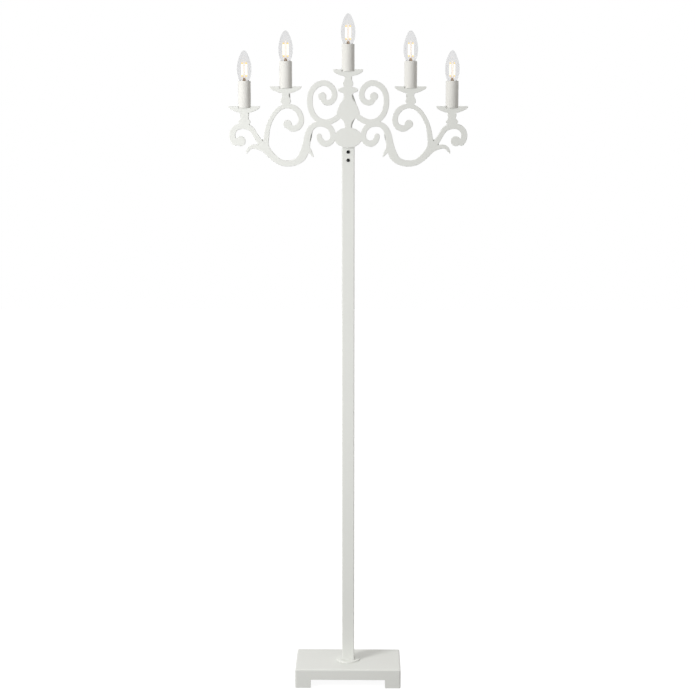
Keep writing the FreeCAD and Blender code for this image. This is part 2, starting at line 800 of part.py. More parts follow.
def side_leads():
    """Leads of the two candles on one side, laid as one as far as they run together."""
    back, front = lead_middle + lead_thickness / 2, lead_middle - lead_thickness / 2
    start = ((terminal_width / 2 / scroll_reach, terminal_share),)
    inner = route_face(start + main_route_shares, lead_width, inner_reach, inner_seat, holder_rise)
    outer = route_face(branch_route_shares, lead_width, outer_reach, outer_seat, holder_rise)
    leads = joined([slab(f, front, back) for f in (inner, outer)])
    middle = at(0, terminal_share).z
    leads = leads.cut(block(-terminal_width / 2, terminal_width / 2, plate_back, box_back,
                            middle - terminal_height, middle + terminal_height))
    for reach, seat in ((inner_reach, inner_seat), (outer_reach, outer_seat)):
        above = block(-reach - post_side, -reach + post_side, plate_back, channel_back,
                      seat + holder_rise, seat + holder_rise + post_side)
        leads = leads.cut(above)
    return leads


def centre_lead():
    half = lead_width / 2
    low = at(0, terminal_share).z + terminal_height / 2
    return block(-half, half, lead_middle - lead_thickness / 2, lead_middle + lead_thickness / 2,
                 low, centre_seat + holder_rise)


# Candles

def candle_seat(x, seat, side):
    """Disc on the pan inside the sleeve, with the flat steel strap that carries the lampholder."""
    plate = rod(seat_radius, seat_thickness, x, candle_middle, seat)
    half_width, half_strap = strap_width / 2, strap_thickness / 2
    strap = block(x - half_width, x + half_width, plate_middle - half_strap, plate_middle + half_strap,
                  seat, seat + holder_rise)
    lead_x, lead_half = x + side * lead_offset, lead_width / 2 + slip_gap
    lead_way = block(lead_x - lead_half, lead_x + lead_half,
                     lead_middle - lead_thickness / 2 - slip_gap,
                     lead_middle + lead_thickness / 2 + slip_gap,
                     seat - overrun, seat + seat_thickness + overrun)
    return joined([plate, strap]).cut(lead_way)


def lampholder(x, bottom):
    top = sleeve_height - holder_drop
    profile = (
        (0, holder_rise), (holder_radius, holder_rise), (holder_radius, top), (socket_radius, top),
        (socket_radius, socket_floor), (0, socket_floor),
    )
    return turned(profile, x, candle_middle, bottom)


def candle_sleeve(x, bottom):
    tube = rod(sleeve_radius, sleeve_height, x, candle_middle, bottom)
    return tube.cut(rod(sleeve_radius - sleeve_wall, sleeve_height + 2 * overrun, x, candle_middle,
                        bottom - overrun))


def bulb_contact(x, bottom):
    return hexagon(contact_flats, contact_height, x, candle_middle, bottom + socket_floor + thread_gap)


def bulb_cap(x, bottom):
    low = socket_floor + thread_gap + contact_height
    return rod(cap_radius, sleeve_height - cap_top_drop - low, x, candle_middle, bottom + low)


def bulb_glass(x, bottom):
    profile = glass_shares + glass_inside_shares[::-1]
    return turned([(bulb_radius * r, glass_height * h) for r, h in profile], x, candle_middle,
                  bottom + sleeve_height - cap_top_drop)


def bulb_filaments(x, bottom):
    foot = sleeve_height - cap_top_drop
    low = sleeve_height + filament_rise
    high = low + filament_length
    half_wire, half_stem = filament_wire / 2, filament_stem / 2
    parts = [
        block(-half_stem, half_stem, -half_stem, half_stem, foot, low),
        block(-half_wire, half_wire, -half_wire, half_wire, low - filament_wire, high),
    ]
    reach = filament_spread + filament_thickness / 2
    for z in (low - filament_wire, high - filament_wire):
        parts.append(block(-reach, reach, -half_wire, half_wire, z, z + filament_wire))
        parts.append(block(-half_wire, half_wire, -reach, reach, z, z + filament_wire))
    inner, outer = filament_spread - filament_thickness / 2, reach
    half_width = filament_width / 2
    for turn in range(4):
        stick = block(inner, outer, -half_width, half_width, low - filament_wire, high)
        parts.append(stick.rotated(FreeCAD.Vector(0, 0, 0), FreeCAD.Vector(0, 0, 1), 90 * turn))
    group = joined(parts)
    group.rotate(FreeCAD.Vector(0, 0, 0), FreeCAD.Vector(0, 0, 1), filament_turn)
    return group.translated(FreeCAD.Vector(x, candle_middle, bottom))


def write(name, shape):
    shape.exportStep("parts/" + name + ".step")


os.makedirs("parts", exist_ok=True)

write("base_shell", base_shell())
write("base_feet", base_feet())
write("ballast_plate", ballast_plate())
write("ballast_nuts", ballast_nuts())
write("foot_pads", foot_pads())
write("cord_bush", cord_bush())
write("post_collar", post_collar())
write("post", post())
write("post_foot_insert", post_foot_insert())
write("post_bolt", post_bolt())
write("post_bolt_washer", post_bolt_washer())
write("head_tongue", head_tongue())
write("head_screws", head_screws())
write("scroll_plate", scroll_plate())
write("wire_box", wire_box())
write("rear_cover", rear_cover())
write("cover_screws", cover_screws())
write("terminal_block", terminal_block())
write("terminal_screw", terminal_screw())
write("centre_lead", centre_lead())

left_leads = side_leads()
write("wire_channel_left", wire_channel(box_outside()))
write("wire_channel_right", flipped(wire_channel(flipped(box_outside()))))
write("leads_left", left_leads)
write("leads_right", flipped(left_leads))

for name, x, seat, side in candles:
    write("candle_seat_" + name, candle_seat(x, seat, side))
    write("lampholder_" + name, lampholder(x, seat))
    write("candle_sleeve_" + name, candle_sleeve(x, seat))
    write("bulb_contact_" + name, bulb_contact(x, seat))
    write("bulb_cap_" + name, bulb_cap(x, seat))
    write("bulb_glass_" + name, bulb_glass(x, seat))
    write("bulb_filaments_" + name, bulb_filaments(x, seat))
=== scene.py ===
# %% [markdown]
# # A candelabra floor lamp
#
# A slim square post carries a flat scrolled head with five candle lights. The frame brings the real
# construction: every plate, tube, screw and bulb at its true size and place. This lesson dresses it.
# It rounds the edges that catch the light, paints the metal, blows the glass and lights the bulbs,
# and it never moves or resizes what the frame holds.

# %% Load the frame
import json
import math

import bmesh
import bpy
from mathutils import Matrix, Vector
from mathutils.kdtree import KDTree


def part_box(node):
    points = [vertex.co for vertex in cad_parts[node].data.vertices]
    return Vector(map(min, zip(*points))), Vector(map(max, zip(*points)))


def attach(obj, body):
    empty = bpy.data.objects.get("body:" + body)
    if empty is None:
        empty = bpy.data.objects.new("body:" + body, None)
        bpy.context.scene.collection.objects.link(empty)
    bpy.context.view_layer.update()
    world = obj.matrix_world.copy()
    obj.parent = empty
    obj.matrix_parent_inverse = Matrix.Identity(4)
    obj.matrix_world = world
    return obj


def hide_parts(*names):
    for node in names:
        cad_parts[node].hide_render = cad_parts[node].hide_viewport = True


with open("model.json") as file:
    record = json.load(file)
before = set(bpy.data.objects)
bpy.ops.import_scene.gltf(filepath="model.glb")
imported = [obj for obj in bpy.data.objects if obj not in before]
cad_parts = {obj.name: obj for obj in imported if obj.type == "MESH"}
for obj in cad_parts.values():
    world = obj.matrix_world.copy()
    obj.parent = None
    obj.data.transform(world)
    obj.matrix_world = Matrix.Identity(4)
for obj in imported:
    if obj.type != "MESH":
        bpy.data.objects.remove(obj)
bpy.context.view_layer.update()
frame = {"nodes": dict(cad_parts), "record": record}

# %% [markdown]
# ## Camera
#
# The picture was taken from in front, a little above the middle of the lamp, with a long lens. A
# camera is three facts: how far away it stands, how high, and which way it looks. The lens follows
# from the focal length in pixels, since the sensor is as wide as the picture.

# %% Camera
picture_side = 695
focal_pixels = 1500
sensor_width = 36
camera_distance = 3.6
camera_height = 1.4116
camera_dip = math.radians(9)
camera_swing = math.radians(0.7)
post_right_of_middle = 0.7

lens = bpy.data.cameras.new("photo_camera")
lens.sensor_width = sensor_width
lens.lens = sensor_width * focal_pixels / picture_side
camera = bpy.data.objects.new("photo_camera", lens)
bpy.context.scene.collection.objects.link(camera)
camera.location = (camera_distance * math.sin(camera_swing),
                   -camera_distance * math.cos(camera_swing),
                   camera_height)
turn = camera_swing + math.atan(post_right_of_middle / focal_pixels)
camera.rotation_euler = (math.pi / 2 - camera_dip, 0, turn)
bpy.context.scene.camera = camera
bpy.context.scene.view_settings.view_transform = "Standard"
print("lens:", round(lens.lens, 1), "mm")

# %% [markdown]
# ## Studio
#
# A white studio: a pale floor, a white world that the camera sees, and one tall soft light on the
# left, level with the head, which leaves the right of each round candle in shade, as in the
# picture. A wide weak light in front fills the post and the flat plate, and a small one low on the
# left reaches the base. Neither gloss nor glass shows the lights themselves, which would speckle
# the bulbs. The world is white only to the eye, in reflections and through glass. What it gives
# the lamp as light is much less.

# %% Which rays see the white
def seen_by_eye(nodes, links):
    """Socket that is 1 for what the eye sees straight, in a reflection or through glass, and else 0."""
    path = nodes.new("ShaderNodeLightPath")
    straight = nodes.new("ShaderNodeMath")
    straight.operation = "MAXIMUM"
    through = nodes.new("ShaderNodeMath")
    through.operation = "MAXIMUM"
    links.new(path.outputs["Is Camera Ray"], straight.inputs[0])
    links.new(path.outputs["Is Glossy Ray"], straight.inputs[1])
    links.new(straight.outputs[0], through.inputs[0])
    links.new(path.outputs["Is Transmission Ray"], through.inputs[1])
    return through.outputs[0]


# %% World
ambient_strength = 0.56
ambient_color = (1, 0.982, 0.955, 1)
white_strength = 1.0
white_color = (1, 1, 1, 1)

world = bpy.data.worlds.new("studio")
bpy.context.scene.world = world
world.use_nodes = True
nodes, links = world.node_tree.nodes, world.node_tree.links
nodes.clear()
dim = nodes.new("ShaderNodeBackground")
dim.inputs["Strength"].default_value = ambient_strength
dim.inputs["Color"].default_value = ambient_color
white = nodes.new("ShaderNodeBackground")
white.inputs["Strength"].default_value = white_strength
white.inputs["Color"].default_value = white_color
choice = nodes.new("ShaderNodeMixShader")
surface = nodes.new("ShaderNodeOutputWorld")
links.new(seen_by_eye(nodes, links), choice.inputs[0])
links.new(dim.outputs[0], choice.inputs[1])
links.new(white.outputs[0], choice.inputs[2])
links.new(choice.outputs[0], surface.inputs[0])
print("world: light", ambient_strength, "of the white that the eye sees")

# %% Soft lights
def soft_light(name, place, target, width, height, power):
    """Area light of that width and height at a place, facing a target, hidden from gloss and glass."""
    data = bpy.data.lights.new(name, "AREA")
    data.shape = "RECTANGLE"
    data.size = width
    data.size_y = height
    data.energy = power
    light = bpy.data.objects.new(name, data)
    light.visible_glossy = False
    light.visible_transmission = False
    bpy.context.scene.collection.objects.link(light)
    light.location = place
    light.rotation_euler = (Vector(target) - Vector(place)).to_track_quat("-Z", "Y").to_euler()
    print("light:", name, width, "x", height, "m,", power, "W")


soft_light("key", place=(-1.61, -1.35, 1.5), target=(0, 0, 1.3), width=0.55, height=1.2, power=25.5)
soft_light("fill", place=(-1.2, -3.4, 0.6), target=(0, 0, 0.4), width=1.6, height=1.6, power=9)
soft_light("base", place=(-1.0, -0.9, 0.9), target=(0, 0, 0.06), width=0.5, height=0.5, power=3.3)

# %% Floor
floor_side = 14.0
floor_glow = 0.94
floor_shade = 0.25

floor_paint = bpy.data.materials.new("studio_floor")
floor_paint.use_nodes = True
nodes, links = floor_paint.node_tree.nodes, floor_paint.node_tree.links
nodes.clear()
matt = nodes.new("ShaderNodeBsdfDiffuse")
matt.inputs["Color"].default_value = (floor_shade, floor_shade, floor_shade, 1)
glow = nodes.new("ShaderNodeEmission")
glow_for_eye = nodes.new("ShaderNodeMath")
glow_for_eye.operation = "MULTIPLY"
glow_for_eye.inputs[1].default_value = floor_glow
both = nodes.new("ShaderNodeAddShader")
out = nodes.new("ShaderNodeOutputMaterial")
links.new(seen_by_eye(nodes, links), glow_for_eye.inputs[0])
links.new(glow_for_eye.outputs[0], glow.inputs["Strength"])
links.new(matt.outputs[0], both.inputs[0])
links.new(glow.outputs[0], both.inputs[1])
links.new(both.outputs[0], out.inputs[0])

bpy.ops.object.select_all(action="DESELECT")
bpy.ops.mesh.primitive_plane_add(size=floor_side, location=(0, 0, 0))
floor = bpy.context.object
floor.name = "studio_floor"
floor.data.materials.append(floor_paint)
print("floor:", floor_side, "m square")

# %% [markdown]
# ## Finishes
#
# Nearly all of this lamp is painted, moulded or plated, so its finishes differ less in colour than
# in how the surface breaks the light. One function lays the common ground: a base colour that
# drifts very slightly, a roughness that varies, and a fine bump. Each finish then has its own grain
# size: powder coat has a soft orange peel, cast iron is coarse, and moulded plastic is nearly smooth.

# %% A finish from noise
cloud_detail = 4
grain_detail = 2
darkest_at, lightest_at = 0.3, 0.7
smoother, rougher = 0.88, 1.12


def finish(name, color, roughness, drift=0.03, blotch=9.0, peel=900.0, peel_height=0.00002,
           metallic=0.0):
    """Material whose colour drifts in blotches and whose surface has a fine peel, both per metre."""
    material = bpy.data.materials.new(name)
    material.use_nodes = True
    nodes, links = material.node_tree.nodes, material.node_tree.links
    shader = nodes["Principled BSDF"]
    shader.inputs["Metallic"].default_value = metallic
    place = nodes.new("ShaderNodeTexCoord")

    clouds = nodes.new("ShaderNodeTexNoise")
    clouds.inputs["Scale"].default_value = blotch
    clouds.inputs["Detail"].default_value = cloud_detail
    shades = nodes.new("ShaderNodeValToRGB")
    dark, light = shades.color_ramp.elements
    dark.position = darkest_at
    dark.color = [c * (1 - drift) for c in color] + [1]
    light.position = lightest_at
    light.color = [min(c * (1 + drift), 1) for c in color] + [1]
    links.new(place.outputs["Object"], clouds.inputs["Vector"])
    links.new(clouds.outputs["Fac"], shades.inputs["Fac"])
    links.new(shades.outputs["Color"], shader.inputs["Base Color"])

    grain = nodes.new("ShaderNodeTexNoise")
    grain.inputs["Scale"].default_value = peel
    grain.inputs["Detail"].default_value = grain_detail
    sheen = nodes.new("ShaderNodeMapRange")
    sheen.inputs["To Min"].default_value = roughness * smoother
    sheen.inputs["To Max"].default_value = roughness * rougher
    bump = nodes.new("ShaderNodeBump")
    bump.inputs["Distance"].default_value = peel_height
    links.new(place.outputs["Object"], grain.inputs["Vector"])
    links.new(grain.outputs["Fac"], sheen.inputs["Value"])
    links.new(sheen.outputs["Result"], shader.inputs["Roughness"])
    links.new(grain.outputs["Fac"], bump.inputs["Height"])
    links.new(bump.outputs["Normal"], shader.inputs["Normal"])
    return material


# %% Paint, plastic and rubber
finishes = {
    "white_paint": finish("white_powder_coat", (0.83, 0.842, 0.81), 0.42, drift=0.012, blotch=7,
                          peel=650, peel_height=0.00003),
    "candle_white": finish("candle_sleeve_plastic", (0.812, 0.806, 0.772), 0.45, drift=0.01,
                           blotch=30, peel=1500, peel_height=0.000006),
    "bush_plastic": finish("white_nylon", (0.78, 0.78, 0.75), 0.5, peel=1200, peel_height=0.00001),
    "terminal_plastic": finish("natural_nylon", (0.72, 0.70, 0.62), 0.45, blotch=60, peel=1200,
                               peel_height=0.00001),
    "holder_plastic": finish("black_phenolic", (0.018, 0.017, 0.016), 0.35, drift=0.2, blotch=80,
                             peel=1600, peel_height=0.00001),
    "lead_insulation": finish("lead_insulation", (0.8, 0.8, 0.77), 0.4, blotch=50, peel=1400,
                              peel_height=0.000008),
    "pad_rubber": finish("pad_rubber", (0.03, 0.03, 0.03), 0.8, drift=0.25, blotch=120, peel=2200,
                         peel_height=0.00004),
}

candle_gloss = 0.2
candle_shader = finishes["candle_white"].node_tree.nodes["Principled BSDF"]
candle_shader.inputs["Specular IOR Level"].default_value = candle_gloss
print("plain finishes:", ", ".join(finishes))

# %% Metal
finishes.update({
    "black_screw": finish("black_oxide", (0.012, 0.012, 0.013), 0.38, drift=0.3, blotch=300,
                          peel=1800, peel_height=0.00001, metallic=0.6),
    "plated_steel": finish("zinc_plate", (0.56, 0.57, 0.58), 0.34, drift=0.08, blotch=120,
                           peel=1500, peel_height=0.00001, metallic=1.0),
    "ballast_iron": finish("cast_iron_primer", (0.045, 0.046, 0.05), 0.72, drift=0.3, blotch=40,
                           peel=420, peel_height=0.00018, metallic=0.2),
    "cap_metal": finish("bright_cap", (0.78, 0.77, 0.74), 0.22, drift=0.05, blotch=200, peel=1500,
                        peel_height=0.000005, metallic=1.0),
    "solder": finish("dull_solder", (0.42, 0.42, 0.43), 0.5, drift=0.15, blotch=400, peel=900,
                     peel_height=0.00003, metallic=1.0),
})

# %% [markdown]
# ## Glass and light
#
# A clear bulb shows mostly by its rim. The wall here is thin and even, and a Layer Weight paints
# shade into the glass's colour towards the rim, where the view grazes the wall: it stands in for
# the dim studio seen through the rim. The filament sticks are coated in a yellow phosphor and glow
# so strongly that they burn out to white, and only their dimmer ends keep the yellow.

# %% Clear glass
# Painted shade: the glass's colour darkens towards the rim as the view grazes it, standing in for the
# dim studio seen through the rim.
middle_tint, rim_painted_shade = (0.87, 0.87, 0.872, 1), (0.78, 0.78, 0.783, 1)
middle_ends, rim_starts = 0.25, 0.80
slant_blend = 0.5
glass_index = 1.45

glass = bpy.data.materials.new("clear_glass")
glass.use_nodes = True
nodes, links = glass.node_tree.nodes, glass.node_tree.links
shader = nodes["Principled BSDF"]
slant = nodes.new("ShaderNodeLayerWeight")
slant.inputs["Blend"].default_value = slant_blend
painted_rim_shade_ramp = nodes.new("ShaderNodeValToRGB")
middle, rim = painted_rim_shade_ramp.color_ramp.elements
middle.position, middle.color = middle_ends, middle_tint
rim.position, rim.color = rim_starts, rim_painted_shade
links.new(slant.outputs["Facing"], painted_rim_shade_ramp.inputs["Fac"])
links.new(painted_rim_shade_ramp.outputs["Color"], shader.inputs["Base Color"])
shader.inputs["Roughness"].default_value = 0.0
shader.inputs["IOR"].default_value = glass_index
shader.inputs["Transmission Weight"].default_value = 1.0
finishes["bulb_glass"] = glass

# %% Glowing phosphor
phosphor_roughness = 0.6


def glowing(name, color, strength):
    """Coating that shines in one colour, a little uneven like a phosphor dip; on the mast it is a
    painted glow.
    """
    material = finish(name, color, phosphor_roughness, drift=0.1, blotch=600, peel=1500)
    shader = material.node_tree.nodes["Principled BSDF"]
    shader.inputs["Emission Color"].default_value = (*color, 1)
    shader.inputs["Emission Strength"].default_value = strength
    return material


finishes["filament"] = glowing("lit_phosphor", (1.0, 0.88, 0.68), strength=1.5)
end_glow = glowing("dim_phosphor", (1.0, 0.64, 0.17), strength=0.85)
# The mast gives no light of its own: its glow is painted light, for the filaments' light that falls on
# it.
painted_mast_glow = glowing("painted_glow_mast", (1.0, 0.81, 0.68), strength=0.85)
stem_glass = finish("amber_stem", (0.80, 0.58, 0.40), 0.25, drift=0.15, blotch=300, peel=800)

# %% Paint the frame
slot_of = {part["node"]: part["material_slot"] for part in frame["record"]["subparts"]}
for node, part in frame["nodes"].items():
    part.data.materials.clear()
    part.data.materials.append(finishes[slot_of[node]])
print("painted:", len(slot_of), "nodes with", len(finishes), "finishes")

# %% [markdown]
# ## Soft edges
#
# Nothing that is cut, folded and painted has a knife edge: the coat pulls round every corner and
# draws a thin bright line above and a dark one below. The frame's meshes are loose triangles, so a
# copy is stitched together, its flat areas are made whole again, and a bevel rounds what is left
# sharp. The copy stands for the node, which MuJoCo keeps.

# %% Take a piece in hand
def pick(*pieces):
    """Selects these pieces alone, the first one active."""
    bpy.ops.object.select_all(action="DESELECT")
    for piece in pieces:
        piece.select_set(True)
    bpy.context.view_layer.objects.active = pieces[0]


def edit(piece):
    """Opens the mesh of one piece with everything in it selected."""
    pick(piece)
    bpy.ops.object.mode_set(mode="EDIT")
    bpy.ops.mesh.select_all(action="SELECT")


def close(piece):
    """Leaves edit mode and hands the piece back."""
    bpy.ops.object.mode_set(mode="OBJECT")
    return piece


# %% Finish its surface
sharp_degrees = 35
large_face_weight = 100


def apply_all(piece):
    """Makes every modifier of the piece part of its mesh."""
    pick(piece)
    for modifier in list(piece.modifiers):
        bpy.ops.object.modifier_apply(modifier=modifier.name)


def smooth(piece, degrees=sharp_degrees):
    """Shades the piece round, apart from edges that turn by more than that angle."""
    pick(piece)
    bpy.ops.object.shade_smooth_by_angle(angle=math.radians(degrees))


def stand_in(piece, *names):
    """Evens out the piece's shading and lets it stand for its nodes on the lamp."""
    even = piece.modifiers.new("even", "WEIGHTED_NORMAL")
    even.weight = large_face_weight
    even.keep_sharp = True
    apply_all(piece)
    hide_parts(*names)
    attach(piece, "lamp")
    print(piece.name, len(piece.data.polygons), "faces")


# %% A copy with rounded edges
weld_distance = 0.000002
flat_degrees = 0.5
edge_steps = 2


def softened(radius, *names):
    """Nodes stitched into one copy with its sharp edges rounded, standing for them."""
    copies = []
    for node in names:
        copy = bpy.data.objects.new(node + "_soft", frame["nodes"][node].data.copy())
        bpy.context.scene.collection.objects.link(copy)
        copies.append(copy)
    piece = copies[0]
    pick(*copies)
    if len(copies) > 1:
        bpy.ops.object.join()
    edit(piece)
    bpy.ops.mesh.remove_doubles(threshold=weld_distance)
    bpy.ops.mesh.dissolve_limited(angle_limit=math.radians(flat_degrees))
    close(piece)
    smooth(piece)
    bevel = piece.modifiers.new("edge", "BEVEL")
    bevel.width = radius
    bevel.segments = edge_steps
    bevel.limit_method = "ANGLE"
    bevel.angle_limit = math.radians(sharp_degrees)
    stand_in(piece, *names)


# %% Soften the painted parts
collar_edge = 0.0005
cover_edge = 0.0003
folded_edge = 0.0004

softened(collar_edge, "post_collar")
softened(cover_edge, "rear_cover")
for node in ("wire_box", "wire_channel_left", "wire_channel_right", "head_tongue"):
    softened(folded_edge, node)

# %% Soften the base
softened(folded_edge, "base_shell", "base_feet")

# %% [markdown]
# ## Round the scroll plate
#
# The plate is 6 mm thick, and both rims of its outline are rounded by about a millimetre. Its leaf
# tips are narrower than the rounding, where a bevel would fold over itself. So the rounding is
# built in rings instead. Each ring lies further in and nearer the flat side than the last, and
# where the plate is narrow a ring goes in only as far as its middle line. To find that line, a
# corner's way in is tried at growing depths, until some other stretch of the rim is nearer.

# %% Find the rims of a flat side
level_tolerance = 0.00001


def rims_of(shape, level):
    """The flat faces at one level, and their closed rims, each a list of its corners in order."""
    shape.verts.index_update()
    for face in shape.faces:
        face.tag = all(abs(corner.co.y - level) < level_tolerance for corner in face.verts)
    joined = {}
    for edge in shape.edges:
        if sum(face.tag for face in edge.link_faces) == 1:
            for corner in edge.verts:
                joined.setdefault(corner.index, []).append(edge.other_vert(corner))
    rims = []
    seen = set()
    shape.verts.ensure_lookup_table()
    for start in joined:
        if start in seen:
            continue
        rim = []
        here = shape.verts[start]
        while here:
            seen.add(here.index)
            rim.append(here)
            here = next((other for other in joined[here.index] if other.index not in seen), None)
        rims.append(rim)
    return [face for face in shape.faces if face.tag], rims


def width_of(rim):
    """How far a rim reaches from left to right."""
    return max(corner.co.x for corner in rim) - min(corner.co.x for corner in rim)


# %% Closely spaced points along the rims
probe_step = 0.0003


def rim_tree(rims):
    """Points all along the rims, ready to be asked for the nearest one."""
    points = []
    for rim in rims:
        for before, after in zip(rim[-1:] + rim[:-1], rim):
            count = max(1, int((after.co - before.co).length / probe_step))
            for k in range(count):
                point = before.co.lerp(after.co, k / count)
                points.append((point.x, 0, point.z))
    tree = KDTree(len(points))
    for k, point in enumerate(points):
        tree.insert(point, k)
    tree.balance()
    return tree


# %% Find how far each corner can go in
nearness = 0.96
safe_share = 0.92
longest_mitre = 2.8
least_slant = 0.01
depth_divisions = 500


def room_in(place, way, tree, radius):
    """Depth along the way in, at most the radius, at which the corner's own rim is still nearest."""
    if tree.find(place + way * radius)[2] >= nearness * radius:
        return radius
    low, high = 0, radius
    while high - low > radius / depth_divisions:
        depth = (low + high) / 2
        if tree.find(place + way * depth)[2] < nearness * depth:
            high = depth
        else:
            low = depth
    return low * safe_share


def ways_in(rim, is_outer, tree, radius):
    """Each corner's place in the flat side, and its way in, as long as the rounding allows."""
    places = [Vector((corner.co.x, 0, corner.co.z)) for corner in rim]
    area = sum(a.x * b.z - b.x * a.z for a, b in zip(places, places[1:] + places[:1]))
    turn = 1 if (area > 0) == is_outer else -1
    ways = []
    for before, place, after in zip(places[-1:] + places[:-1], places, places[1:] + places[:1]):
        come = (place - before).normalized()
        go = (after - place).normalized()
        come_in = Vector((-come.z, 0, come.x)) * turn
        go_in = Vector((-go.z, 0, go.x)) * turn
        way = (come_in + go_in).normalized()
        if (come.x * go.z - come.z * go.x) * turn > 0:
            way *= min(longest_mitre, 1 / max(least_slant, way.dot(come_in)))
        ways.append(way * room_in(place, way, tree, radius))
    return places, ways


# %% Round one side
least_rim_width = 0.012


def round_side(shape, level, side, radius, steps):
    """Takes off one flat side, rounds its long rims in rings and fills the side again."""
    flat, rims = rims_of(shape, level)
    inner_rims = [rim for rim in rims if width_of(rim) < least_rim_width]
    long_rims = sorted((rim for rim in rims if width_of(rim) >= least_rim_width), key=width_of)
    tree = rim_tree(long_rims)
    bmesh.ops.delete(shape, geom=flat, context="FACES")
    for rim in long_rims:
        places, ways = ways_in(rim, rim is long_rims[-1], tree, radius)
        for corner in rim:
            corner.co.y = level - side * radius
        last = rim
        for step in range(1, steps + 1):
            angle = math.pi / 2 * step / steps
            height = level - side * radius * (1 - math.sin(angle))
            ring = []
            for place, way in zip(places, ways):
                point = place + way * (1 - math.cos(angle))
                ring.append(shape.verts.new((point.x, height, point.z)))
            for k in range(len(ring)):
                shape.faces.new((last[k - 1], last[k], ring[k], ring[k - 1]))
            last = ring
        inner_rims.append(last)
    edges = [shape.edges.get((rim[k - 1], rim[k])) for rim in inner_rims for k in range(len(rim))]
    bmesh.ops.triangle_fill(shape, edges=edges, use_beauty=True, normal=(0, side, 0))


# %% Round both sides of the plate
plate_rounding = 0.0011
rounding_steps = 4

plate_low, plate_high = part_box("scroll_plate")
shape = bmesh.new()
shape.from_mesh(frame["nodes"]["scroll_plate"].data)
bmesh.ops.remove_doubles(shape, verts=shape.verts, dist=weld_distance)
round_side(shape, plate_low.y, -1, plate_rounding, rounding_steps)
round_side(shape, plate_high.y, 1, plate_rounding, rounding_steps)
bmesh.ops.recalc_face_normals(shape, faces=shape.faces)
print("open edges:", sum(len(edge.link_faces) != 2 for edge in shape.edges),
      "volume:", round(shape.calc_volume() * 1e6, 1), "cubic cm")

# %% Stand the rounded plate in its place
plate_mesh = bpy.data.meshes.new("scroll_plate_soft")
shape.to_mesh(plate_mesh)
shape.free()
plate_mesh.materials.append(finishes[slot_of["scroll_plate"]])
plate = bpy.data.objects.new("scroll_plate_soft", plate_mesh)
bpy.context.scene.collection.objects.link(plate)
smooth(plate)
stand_in(plate, "scroll_plate")

# %% [markdown]
# ## Turned pieces
#
# The candle sleeves, bulbs and caps are round about an upright line. Each is drawn as half of its
# outline, point by point, and spun once round. A spin can leave a shell inside out, so its doubles
# are merged and its faces turned outwards before anything is added to it.

# %% Draw and spin
seam_distance = 0.000005
dot_size = 0.01


def drawn(name, points):
    """Line of edges from point to point, in the XZ plane."""
    bpy.ops.object.select_all(action="DESELECT")
    bpy.ops.mesh.primitive_plane_add(size=dot_size, location=(0, 0, 0))
    piece = bpy.context.object
    piece.name = name
    piece.data.name = name
    edit(piece)
    bpy.ops.mesh.merge(type="CENTER")
    bpy.ops.transform.translate(value=points[0])
    for start, end in zip(points, points[1:]):
        bpy.ops.mesh.extrude_vertices_move(TRANSFORM_OT_translate={"value": end - start})
    return close(piece)


def spun(name, profile, steps):
    """Piece of revolution about the upright axis, from its (radius, height) pairs."""
    piece = drawn(name, [Vector((radius, 0, height)) for radius, height in profile])
    edit(piece)
    bpy.ops.mesh.spin(steps=steps, angle=2 * math.pi, center=(0, 0, 0), axis=(0, 0, 1))
    bpy.ops.mesh.select_all(action="SELECT")
    bpy.ops.mesh.remove_doubles(threshold=seam_distance)
    bpy.ops.mesh.normals_make_consistent(inside=False)
    return close(piece)


def moved(piece, place):
    """Moves the piece within its own mesh, so that its object stays at the origin."""
    piece.data.transform(Matrix.Translation(place))
    return piece


# %% [markdown]
# ## The five candles
#
# One candle is made about the origin, to the middle candle's measures, and each of the five gets a
# copy of it with a mesh of its own. Everything that unscrews rides on that candle's bulb. The
# sleeve stays with the lamp.

# %% Where the candles stand
candles = ("outer_left", "inner_left", "centre", "inner_right", "outer_right")


def sleeve_foot(candle):
    """Point on the candle's axis at the foot of its sleeve."""
    low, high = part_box("candle_sleeve_" + candle)
    return Vector(((low.x + high.x) / 2, (low.y + high.y) / 2, low.z))


def share_out(piece, material, body, node=None):
    """Finishes a piece and gives each candle a copy, on the lamp or, for "bulb_", on its own bulb."""
    piece.data.materials.clear()
    piece.data.materials.append(material)
    for candle in candles:
        copy = bpy.data.objects.new(piece.name + "_" + candle, piece.data.copy())
        bpy.context.scene.collection.objects.link(copy)
        moved(copy, sleeve_foot(candle))
        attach(copy, body if body == "lamp" else body + candle)
        if node:
            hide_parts(node + candle)
    print(piece.name, len(piece.data.polygons), "faces, for", len(candles), "candles")
    bpy.data.objects.remove(piece)


# %% [markdown]
# ### Sleeve
#
# A candle sleeve is a thin moulded tube. Its wall is given thickness from the outside in, and its
# rims are rounded, because the top one shows against the glass.

# %% Sleeve
sleeve_low, sleeve_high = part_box("candle_sleeve_centre")
sleeve_radius = (sleeve_high.x - sleeve_low.x) / 2
sleeve_height = sleeve_high.z - sleeve_low.z
sleeve_wall = 0.0012
sleeve_rim = 0.0004
sleeve_rim_steps = 3
sleeve_sides = 96

sleeve = spun("candle_sleeve", [(sleeve_radius, 0), (sleeve_radius, sleeve_height)], sleeve_sides)
wall = sleeve.modifiers.new("wall", "SOLIDIFY")
wall.thickness = sleeve_wall
wall.offset = -1
edge = sleeve.modifiers.new("rim", "BEVEL")
edge.width = sleeve_rim
edge.segments = sleeve_rim_steps
edge.limit_method = "ANGLE"
apply_all(sleeve)
smooth(sleeve)
share_out(sleeve, finishes["candle_white"], "lamp", "candle_sleeve_")

# %% [markdown]
# ### Bulb
#
# The glass leaves the cap in a narrow neck, swells to its full width at two fifths of its height
# and runs up to a soft point, like a flame. A few rings describe it, and a subdivision surface
# rounds them. The wall is then given its thickness.

